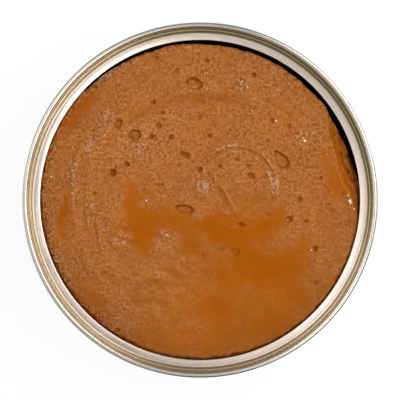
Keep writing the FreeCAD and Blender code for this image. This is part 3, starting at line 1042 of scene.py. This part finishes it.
def pate_material(name, look):
    """Moist fish pate, from the masks that its relief carries."""
    material, tree, shader = new_material(name)
    place = object_place(tree)
    oil, tone, flecks_and_glints, grain, stain_and_shade, surface = (mask(tree, label) for label in Relief.MASKS)
    grit = noise(tree, place, 1 / (0.70 * MM), detail=4.0, roughness=0.70)
    fine = noise(tree, place, 1 / (0.36 * MM), detail=2.0, roughness=0.6)
    coarse = noise(tree, place, 1 / (2.4 * MM), detail=3.0, roughness=0.6)
    base = mixed(tree, between(tree, coarse, 0.3, 0.7), look.dark_grain, look.pale_grain)
    # Painted shade: the darker gap colour in the hollows of the grit
    base = mixed(tree, product(tree, between(tree, grit, 0.46, 0.32), grain), base, look.gap)
    base = mixed(tree, oil, base, look.oil)

    # Pale flecks, partly painted glints, stand where the grit is high, and there are more of them where
    # the mask says so
    usual = 0.36
    amount = maths(tree, "ADD", usual, product(tree, flecks_and_glints, 0.30), clamp=True)
    dense = total(tree, grit, product(tree, flecks_and_glints, 0.03))
    fleck_and_glint = product(tree, between(tree, dense, 0.47, 0.66), product(tree, amount, grain))
    fleck_and_glint = maths(tree, "MULTIPLY", fleck_and_glint, between(tree, fine, 0.34, 0.60, 0.45, 1.25), clamp=True)
    pale = mixed(tree, between(tree, flecks_and_glints, 1.1, 2.6), look.fleck_and_glint, look.pale_fleck_and_glint)
    base = mixed(tree, fleck_and_glint, base, pale)

    # Zones are lighter or darker, with painted shade near the rim and a painted highlight on the slope's
    # crest; painted light and shade make the lumps lighter on the high grit and darker in its hollows;
    # and pores, broken faces and cracks take a deep colour of painted shade
    richer = product(tree, maths(tree, "SUBTRACT", amount, usual), 0.12)
    lumpy = total(tree, between(tree, grit, 0.32, 0.68, -0.115, 0.105), richer)
    light = total(tree, 1.0, product(tree, tone, look.contrast), product(tree, lumpy, grain))
    base = mixed(tree, 1.0, base, grey(tree, light), "MULTIPLY")
    base = mixed(tree, product(tree, stain_and_shade, 0.9), base, look.stain_and_shade)
    # Painted shade: near black where the surface mask is low
    base = mixed(tree, surface, look.depths, base)

    # The oily and the deep parts shine less, as do the gaps in the grit
    damp = maths(tree, "MAXIMUM", oil, product(tree, stain_and_shade, 1.3))
    shine = between(tree, damp, 0.0, 1.2, 0.28, 0.04)
    shine = product(tree, shine, between(tree, grit, 0.35, 0.58, 0.25, 1.0), surface)
    pits = total(tree, product(tree, grit, 0.8), product(tree, fine, 0.5))
    pits = product(tree, pits, total(tree, 0.04, product(tree, amount, grain)))
    pits = product(tree, pits, between(tree, stain_and_shade, 0.1, 0.8, 1.0, 0.3))
    inputs = {
        "Base Color": base,
        "Roughness": between(tree, fleck_and_glint, 0.0, 1.0, 0.15, 0.30),
        "IOR": PATE_IOR,
        "Specular IOR Level": shine,
        "Subsurface Weight": 0.08,
        "Subsurface Radius": (1.0, 0.45, 0.15),
        "Subsurface Scale": 0.6 * MM,
        "Normal": bumped(tree, pits, 1.0, 0.85 * MM),
    }
    feed(tree, shader, inputs)
    return material


def grain_material(name, look):
    """Pale bits of fish flesh, no two quite alike, with the larger crumbs near white as painted glints.
    """
    material, tree, shader = new_material(name)
    shade = noise(tree, object_place(tree), 1 / (0.9 * MM), detail=2.0)
    base = mixed(tree, between(tree, shade, 0.35, 0.65), look.pale_grain, look.fleck_and_glint)
    # Painted glint: the crumbs take a near-white colour
    base = mixed(tree, between(tree, mask(tree, "glint_crumb"), 0.0, 0.1 * MM), base, look.glint_crumb)
    roughness = between(tree, shade, 0.3, 0.7, 0.25, 0.45)
    feed(tree, shader, {"Base Color": base, "Roughness": roughness, "IOR": PATE_IOR})
    return material


# ---------------------------------------------------------------------------- settings


def length(name, description, default):
    return bpy.props.FloatProperty(
        name=name, description=description, default=default, unit="LENGTH", precision=5
    )


def number(name, description, default):
    return bpy.props.FloatProperty(name=name, description=description, default=default)


def factor(name, description, default):
    return bpy.props.FloatProperty(
        name=name, description=description, default=default, subtype="FACTOR", min=0.0, max=1.0
    )


def whole_number(name, description, default):
    return bpy.props.IntProperty(name=name, description=description, default=default)


def colour(name, description, default):
    return bpy.props.FloatVectorProperty(
        name=name, description=description, default=default, subtype="COLOR", size=3, min=0.0, max=1.0
    )


class LidRingSettings(bpy.types.PropertyGroup):
    sheet: length("Sheet", "Thickness of the lid's sheet", 0.24 * MM)
    seam_length: length("Seam length", "Height of the folded seam", 2.9 * MM)
    ledge_depth: length("Ledge depth", "From the top of the seam down to the ledge", 3.45 * MM)
    groove_depth: length("Groove depth", "From the top of the seam down into the groove", 4.55 * MM)
    torn_radius: length("Torn edge", "Radius of the torn inner edge", 39.45 * MM)
    burr: length("Burr", "How jagged the torn edge is", 0.12 * MM)
    waves: length("Waves", "How far the ledge waves up and down", 0.12 * MM)
    segments: whole_number("Segments", "Steps round the ring", 420)
    colour: colour("Metal", "Reflected colour of the lacquered sheet", (0.97, 0.825, 0.715))
    dull_colour: colour("Dull metal", "Reflected colour where it is smudged", (0.91, 0.765, 0.64))
    seam_colour: colour("Seam", "Reflected colour of the bare seam", (0.73, 0.69, 0.61))
    # Painted shade down in the groove
    groove_shade_colour: colour("Groove shade", "Reflected colour down in the groove", (0.52, 0.475, 0.295))


class CanBodySettings(bpy.types.PropertyGroup):
    sheet: length("Sheet", "Thickness of the body's sheet", 0.20 * MM)
    heel: length("Heel", "Bend between the wall and the foot", 2.0 * MM)
    foot_radius: length("Foot", "Radius of the inside of the foot", 38.6 * MM)
    recess: length("Recess", "Height of the recessed base", 1.25 * MM)
    segments: whole_number("Segments", "Steps round the body", 360)
    colour: colour("Metal", "Reflected colour of the tinplate", (0.82, 0.80, 0.76))
    dull_colour: colour("Dull metal", "Reflected colour where it is smudged", (0.77, 0.75, 0.70))


class PateSettings(bpy.types.PropertyGroup):
    cells: whole_number("Cells", "Cells across the surface", 290)
    grain_size: length("Grain size", "Size of the lumps in the surface", 0.8 * MM)
    grain_height: length("Grain height", "Height of the lumps in the surface", 0.24 * MM)
    pores: number("Small pores", "Small pores on each square metre", 16000.0)
    grains: number("Pale grains", "Pale grains on each square metre", 700000.0)
    contrast: factor("Contrast", "How much lighter and darker zones differ", 0.14)
    pale_grain: colour("Pale grain", "Lighter colour of the paste", (0.455, 0.150, 0.019))
    dark_grain: colour("Dark grain", "Darker colour of the paste", (0.41, 0.118, 0.009))
    # The fleck colours are partly painted glints
    fleck_and_glint: colour("Flecks", "Colour of the pale flecks", (0.60, 0.278, 0.126))
    pale_fleck_and_glint: colour("Pale flecks", "Colour of the palest flecks", (0.64, 0.37, 0.21))
    # The crumbs' near-white colour is a painted glint
    glint_crumb: colour("Crumbs", "Colour of the single pale crumbs", (0.88, 0.78, 0.62))
    # Painted shade between the grains
    gap: colour("Gaps", "Colour between the grains", (0.29, 0.070, 0.004))
    oil: colour("Oily paste", "Colour where oil has soaked the paste", (0.405, 0.096, 0.0005))
    # Painted shade: the deep colour in pores, cracks, broken faces and under the torn edge
    stain_and_shade: colour("Deep colour", "Colour in pores and broken faces", (0.235, 0.054, 0.0005))
    depths: colour("Depths", "Colour where light hardly reaches", (0.012, 0.005, 0.003))


class StageSettings(bpy.types.PropertyGroup):
    camera_height: length("Camera height", "From the top of the can up to the camera", 1500 * MM)
    share: factor("Share of the picture", "Can's width over the picture's", 0.8883)
    key: number("Key light", "Light on the can's top", 0.37)
    fill: number("Side lights", "Light of each on the can's top", 0.05)
    floor: colour("Floor", "Colour of the floor that the metal mirrors", (0.70, 0.70, 0.70))
    dark_floor: colour("Dark floor", "Colour of that floor between its paler rays", (0.30, 0.30, 0.30))
    shadow: factor("Shadow", "How dark the can's shadow on the white floor is", 0.15)


# ---------------------------------------------------------------------------- operators


def keep(piece, body, slot_name, *nodes):
    """Hands a finished piece to the frame."""
    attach(piece, body)
    if nodes:
        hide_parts(*nodes)


def seam_fold(scene):
    """Spacing of the seam's layers, and the bend of its hooks, at mid-thickness."""
    layer = (scene.can_lid_ring.sheet + scene.can_body.sheet) / 2 + SEAM_GAP
    return layer, 0.88 * layer


class CAN_OT_lid_ring(bpy.types.Operator):
    """Turn the ring that is left of the lid: torn edge, ledge, groove, chuck wall and seam"""

    bl_idname = "can.lid_ring"
    bl_label = "Lid ring"

    def execute(self, context):
        look = context.scene.can_lid_ring
        half = look.sheet / 2
        layer, hook_bend = seam_fold(context.scene)
        outer = SEAM_RADIUS - half
        chuck_top = outer - 4 * layer
        chuck_foot = chuck_top - CHUCK_TAPER
        panel = chuck_foot - GROOVE_WIDTH
        crown = panel - CROWN_WIDTH
        seam_top = CAN_HEIGHT - half
        seam_foot = CAN_HEIGHT - look.seam_length + half
        ledge = CAN_HEIGHT - look.ledge_depth - half
        groove = CAN_HEIGHT - look.groove_depth - half
        fall = (crown - look.torn_radius) * LEDGE_FALL
        hook, hook_end = outer - 2 * layer, CAN_HEIGHT - 0.815 * MM
        crown_bend, panel_bend, groove_bend, seam_bend = 6.0 * MM, 0.45 * MM, 0.43 * MM, 0.42 * MM
        outline = folded_outline(
            [
                (look.torn_radius, ledge - fall, 0),
                (crown, ledge, crown_bend),
                (panel, ledge, panel_bend),
                (panel, groove, groove_bend),
                (chuck_foot, groove, groove_bend),
                (chuck_top, seam_top, seam_bend),
                (outer, seam_top, seam_bend),
                (outer, seam_foot, hook_bend),
                (hook, seam_foot, hook_bend),
                (hook, hook_end, 0),
            ],
            look.sheet,
            bevel=look.sheet / 2,
        )
        # The burr ends this far from the torn edge, and the waves start this far from the panel wall
        burr_reach, wave_reach = 0.25 * MM, 1.2 * MM
        torn = [max(0.0, 1 - (point.real - look.torn_radius) / burr_reach) for point in outline]
        loose = [min(1.0, max(0.0, (panel - point.real) / wave_reach)) for point in outline]
        finish = sheet_material(
            "lacquered_end_sheet",
            (look.colour, look.dull_colour, look.groove_shade_colour, look.seam_colour),
            roughness=0.21,
            anisotropy=0.65,
            size_around=25 * MM,
            size_across=0.12 * MM,
            relief=0.25,
            groove=(panel - 0.12 * MM, chuck_top + 0.30 * MM),
        )
        name, waves = "lid_ring_folded", {"Waves": look.waves, "Burr": look.burr}
        piece = turned_piece(name, outline, torn, loose, finish, look.segments, **waves)
        keep(piece, "root", "lid_ring", "lid_ring")
        return {"FINISHED"}


class CAN_OT_body(bpy.types.Operator):
    """Turn the drawn body, from the middle of its base up into the hook under the seam"""

    bl_idname = "can.body"
    bl_label = "Can body"

    def execute(self, context):
        look = context.scene.can_body
        ring = context.scene.can_lid_ring
        half = look.sheet / 2
        layer, hook_bend = seam_fold(context.scene)
        top = SEAM_RADIUS - ring.sheet / 2 - 3 * layer
        wall = top - CHUCK_TAPER
        flare = CAN_HEIGHT - ring.groove_depth - ring.sheet / 2
        hook, hook_top = top + 2 * layer, CAN_HEIGHT - ring.sheet - half
        hook_end = CAN_HEIGHT - ring.seam_length + ring.sheet / 2 + 0.42 * MM
        step_bend, recess_bend, foot_bend, flare_bend = 0.8 * MM, 0.7 * MM, 0.6 * MM, 6.0 * MM
        outline = folded_outline(
            [
                (0.0, look.recess + BASE_STEP, 0),
                (27.5 * MM, look.recess + BASE_STEP, step_bend),
                (28.7 * MM, look.recess, step_bend),
                (look.foot_radius - 1.2 * MM, look.recess, recess_bend),
                (look.foot_radius, half, foot_bend),
                (wall, half, look.heel),
                (wall, flare, flare_bend),
                (top, hook_top, hook_bend),
                (hook, hook_top, hook_bend),
                (hook, hook_end, 0),
            ],
            look.sheet,
        )
        still = [0.0] * len(outline)
        finish = sheet_material(
            "drawn_tinplate",
            (look.colour, look.dull_colour),
            roughness=0.18,
            anisotropy=0.3,
            size_around=0.35 * MM,
            size_across=18 * MM,
            relief=0.12,
        )
        piece = turned_piece("can_body_drawn", outline, still, still, finish, look.segments)
        keep(piece, "root", "can_body", "can_body")
        return {"FINISHED"}


class CAN_OT_pate(bpy.types.Operator):
    """Model the filling with its marks, pores, broken slope and void"""

    bl_idname = "can.pate"
    bl_label = "Pate"

    def execute(self, context):
        look = context.scene.can_pate
        inputs = {
            "Grain size": look.grain_size,
            "Grain height": look.grain_height,
            "Pores per square metre": look.pores,
            "Finish": pate_material("fish_pate", look),
        }
        mesh = pate_mesh(look.cells, PATE_TOP / MM, PATE_BOTTOM / MM)
        piece = shape_by_nodes("pate_filling", mesh, pate_tree(), inputs)
        face_outwards(piece.data)
        shade_smooth(piece.data, 80)
        keep(piece, "root", "pate", "pate")
        return {"FINISHED"}


class CAN_OT_grains(bpy.types.Operator):
    """Scatter pale grains in the filling's surface, and set the few larger crumbs"""

    bl_idname = "can.grains"
    bl_label = "Pale grains"

    def execute(self, context):
        look = context.scene.can_pate
        ground = bpy.data.objects["pate_filling"].data.copy()
        vertices = len(ground.vertices)
        masks = {label: np.empty(vertices) for label in ("grain", "surface", "stain_and_shade", "flecks_and_glints")}
        for label, values in masks.items():
            ground.attributes[label].data.foreach_get("value", values)
        scatter = masks["grain"] ** 2 * (masks["surface"] > 0.9) * (masks["stain_and_shade"] < 0.1)
        scatter *= np.clip(0.6 + 0.5 * masks["flecks_and_glints"], 0.05, 2)
        set_values(ground, "scatter", scatter)
        ground.attributes.new("glint_crumb", "FLOAT", "POINT")
        crumbs = np.array(CRUMBS)
        heights = Relief(crumbs[:, 0], crumbs[:, 1]).height
        ground.vertices.add(len(crumbs))
        for i, (x, y, size) in enumerate(CRUMBS):
            ground.vertices[vertices + i].co = Vector((x, y, PATE_TOP / MM + heights[i])) * MM
            ground.attributes["glint_crumb"].data[vertices + i].value = size / 2 * MM
        inputs = {"Grains per square metre": look.grains, "Finish": grain_material("pale_flesh", look)}
        piece = shape_by_nodes("pale_grains", ground, grains_tree(), inputs)
        shade_smooth(piece.data, 80)
        keep(piece, "root", "pate")
        return {"FINISHED"}


class CAN_OT_stage(bpy.types.Operator):
    """Set the floor, the lamps, the world and the camera that looks straight down"""

    bl_idname = "can.stage"
    bl_label = "Stage"

    def execute(self, context):
        look = context.scene.can_stage
        scene = context.scene
        add_floor(look)
        add_world(scene)
        add_lamp("key", look.key, azimuth=32, elevation=46, size=(1.0, 0.9))
        add_lamp("left side", look.fill, azimuth=148, elevation=54, size=(0.6, 0.5))
        add_lamp("right side", look.fill, azimuth=318, elevation=54, size=(0.6, 0.5))
        add_camera(scene, look)
        scene.view_settings.view_transform = "Standard"
        return {"FINISHED"}


def add_floor(look):
    """A wide floor: white to the camera but for a faint shadow, and painted with rays of light and shade
    for the metal to mirror.
    """
    mesh = bpy.data.meshes.new("floor")
    steps = 96
    turns = [math.tau * k / steps for k in range(steps)]
    ring = [(FLOOR_RADIUS * math.cos(turn), FLOOR_RADIUS * math.sin(turn), 0.0) for turn in turns]
    mesh.from_pydata(ring, [], [tuple(range(steps))])
    floor = new_object("floor", mesh)
    material, tree, shader = new_material("pale_floor")
    place = object_place(tree)
    right, back = axes(tree, place)[:2]
    # Painted light and shade that the metal mirrors: paler rays, and darker towards azimuth 290
    turn = product(tree, maths(tree, "ARCTAN2", back, right), 5.0)
    turn = maths(tree, "SUBTRACT", turn, math.radians(150))
    rays = between(tree, maths(tree, "COSINE", turn), -0.5, 0.7)
    base = mixed(tree, rays, look.dark_floor, look.floor)
    front = facing(tree, vector_maths(tree, "NORMALIZE", level(tree, place)), 290)
    base = mixed(tree, 1.0, base, grey(tree, between(tree, front, 0.1, 0.8, 1.0, 0.35)), "MULTIPLY")
    seen = add(tree, "ShaderNodeLightPath").outputs["Is Camera Ray"]
    base = mixed(tree, seen, base, (look.shadow,) * 3)
    feed(tree, shader, {"Base Color": base, "Roughness": 0.8, "Specular IOR Level": 0.0})
    radius = vector_maths(tree, "LENGTH", place)
    white = between(tree, radius, 2 * SEAM_RADIUS, 5 * SEAM_RADIUS, 1.03 - look.shadow, 1.0)
    glow = add(tree, "ShaderNodeEmission", {"Strength": product(tree, seen, white)})
    both = add(tree, "ShaderNodeAddShader", {0: shader.outputs[0], 1: glow.outputs[0]})
    feed(tree, tree.nodes["Material Output"], {"Surface": both.outputs[0]})
    mesh.materials.append(material)


def add_world(scene):
    """White to the camera; to the metal a room, dark overhead, with brighter and darker sides."""
    world = bpy.data.worlds.new("studio")
    world.use_nodes = True
    tree = world.node_tree
    direction = add(tree, "ShaderNodeTexCoord").outputs["Generated"]
    direction = vector_maths(tree, "NORMALIZE", direction)
    height = axes(tree, direction)[2]
    flat = vector_maths(tree, "NORMALIZE", level(tree, direction))
    right, back, _ = axes(tree, flat)

    # A bright ring round a dark spot overhead, brightest towards 330 degrees and then towards 150
    overhead = vector_maths(tree, "DOT_PRODUCT", direction, (0.14, 0.02, 0.990))
    ring = between(tree, overhead, 0.998, 0.974)
    ring = product(tree, ring, between(tree, height, 0.70, 0.85, 0.0, 1.34))
    along = facing(tree, flat, 150)
    lobes = maths(tree, "POWER", maths(tree, "ABSOLUTE", along), 4.0)
    lobes = product(tree, lobes, total(tree, 1.12, product(tree, along, -0.45)))
    behind = maths(tree, "MAXIMUM", back, 0.0)
    lobes = total(tree, lobes, product(tree, right, 0.14), product(tree, behind, -0.12))
    ring = product(tree, ring, total(tree, 0.52, lobes))

    # Dimmer walls below it, brighter at the left than at the right and the rear
    left = facing(tree, flat, 200)
    walls = product(tree, left, left, between(tree, left, -0.2, 0.2, 0.08, 0.45))
    rear = maths(tree, "POWER", maths(tree, "MAXIMUM", facing(tree, flat, 110), 0.0), 4.0)
    walls = total(tree, walls, 0.12, product(tree, rear, 0.10))
    walls = product(tree, walls, between(tree, height, 0.85, 0.70))

    # Two bright panels that stand on the horizon, at the left and the right
    panels = between(tree, maths(tree, "ABSOLUTE", right), 0.80, 0.92)
    panels = product(tree, panels, between(tree, maths(tree, "ABSOLUTE", height), 0.36, 0.22))
    panels = product(tree, panels, between(tree, right, -0.5, 0.5, 0.6, 0.4))

    seen = add(tree, "ShaderNodeLightPath").outputs["Is Camera Ray"]
    strength = maths(tree, "MAXIMUM", seen, total(tree, ring, walls, panels))
    feed(tree, tree.nodes["Background"], {"Strength": strength, "Color": (1.0, 1.0, 1.0, 1.0)})
    scene.world = world


def add_lamp(name, light, azimuth, elevation, size):
    """An area lamp aimed at the can; light is what it adds to a white card on the can's top."""
    turn, rise = math.radians(azimuth), math.radians(elevation)
    data = bpy.data.lights.new(name, "AREA")
    data.shape = "RECTANGLE"
    data.size, data.size_y = size
    data.energy = light * (math.pi * LAMP_DISTANCE) ** 2 / math.sin(rise)
    lamp = new_object(name, data)
    away = LAMP_DISTANCE * math.cos(rise)
    lamp.location = (
        away * math.cos(turn),
        away * math.sin(turn),
        LAMP_DISTANCE * math.sin(rise) + CAN_HEIGHT,
    )
    lamp.rotation_euler = (math.pi / 2 - rise, 0.0, turn + math.pi / 2)
    lamp.visible_camera = False


def add_camera(scene, look):
    """A camera that looks straight down and sees the seam's outside at its share of the picture."""
    data = bpy.data.cameras.new("camera")
    data.sensor_width = 36.0
    # The seam is widest this far below its top
    shoulder = 0.5 * MM
    wide = 2 * SEAM_RADIUS / look.share
    data.lens = data.sensor_width * (look.camera_height + shoulder) / wide
    data.clip_start, data.clip_end = 0.01, 20.0
    camera = new_object("camera", data)
    camera.location = (0.0, 0.0, CAN_HEIGHT + look.camera_height)
    scene.camera = camera


class CAN_PT_panel(bpy.types.Panel):
    """Sizes, colours and steps of the can of pate"""

    bl_idname = "CAN_PT_panel"
    bl_label = "Can of pate"
    bl_space_type = "VIEW_3D"
    bl_region_type = "UI"
    bl_category = "Can of pate"

    def draw(self, context):
        for operator, group in STEPS:
            box = self.layout.box()
            settings = getattr(context.scene, group)
            for name in settings.__annotations__:
                box.prop(settings, name)
            box.operator(operator.bl_idname)


STEPS = (
    (CAN_OT_body, "can_body"),
    (CAN_OT_lid_ring, "can_lid_ring"),
    (CAN_OT_pate, "can_pate"),
    (CAN_OT_grains, "can_pate"),
    (CAN_OT_stage, "can_stage"),
)
GROUPS = {
    "can_body": CanBodySettings,
    "can_lid_ring": LidRingSettings,
    "can_pate": PateSettings,
    "can_stage": StageSettings,
}


def register():
    for name, group in GROUPS.items():
        bpy.utils.register_class(group)
        setattr(bpy.types.Scene, name, bpy.props.PointerProperty(type=group))
    for operator, _ in STEPS:
        bpy.utils.register_class(operator)
    bpy.utils.register_class(CAN_PT_panel)


def unregister():
    bpy.utils.unregister_class(CAN_PT_panel)
    for operator, _ in STEPS:
        bpy.utils.unregister_class(operator)
    for name, group in GROUPS.items():
        delattr(bpy.types.Scene, name)
        bpy.utils.unregister_class(group)


def main():
    register()
    bpy.ops.can.body()
    bpy.ops.can.lid_ring()
    bpy.ops.can.pate()
    bpy.ops.can.grains()
    bpy.ops.can.stage()


if __name__ == "__main__":
    main()
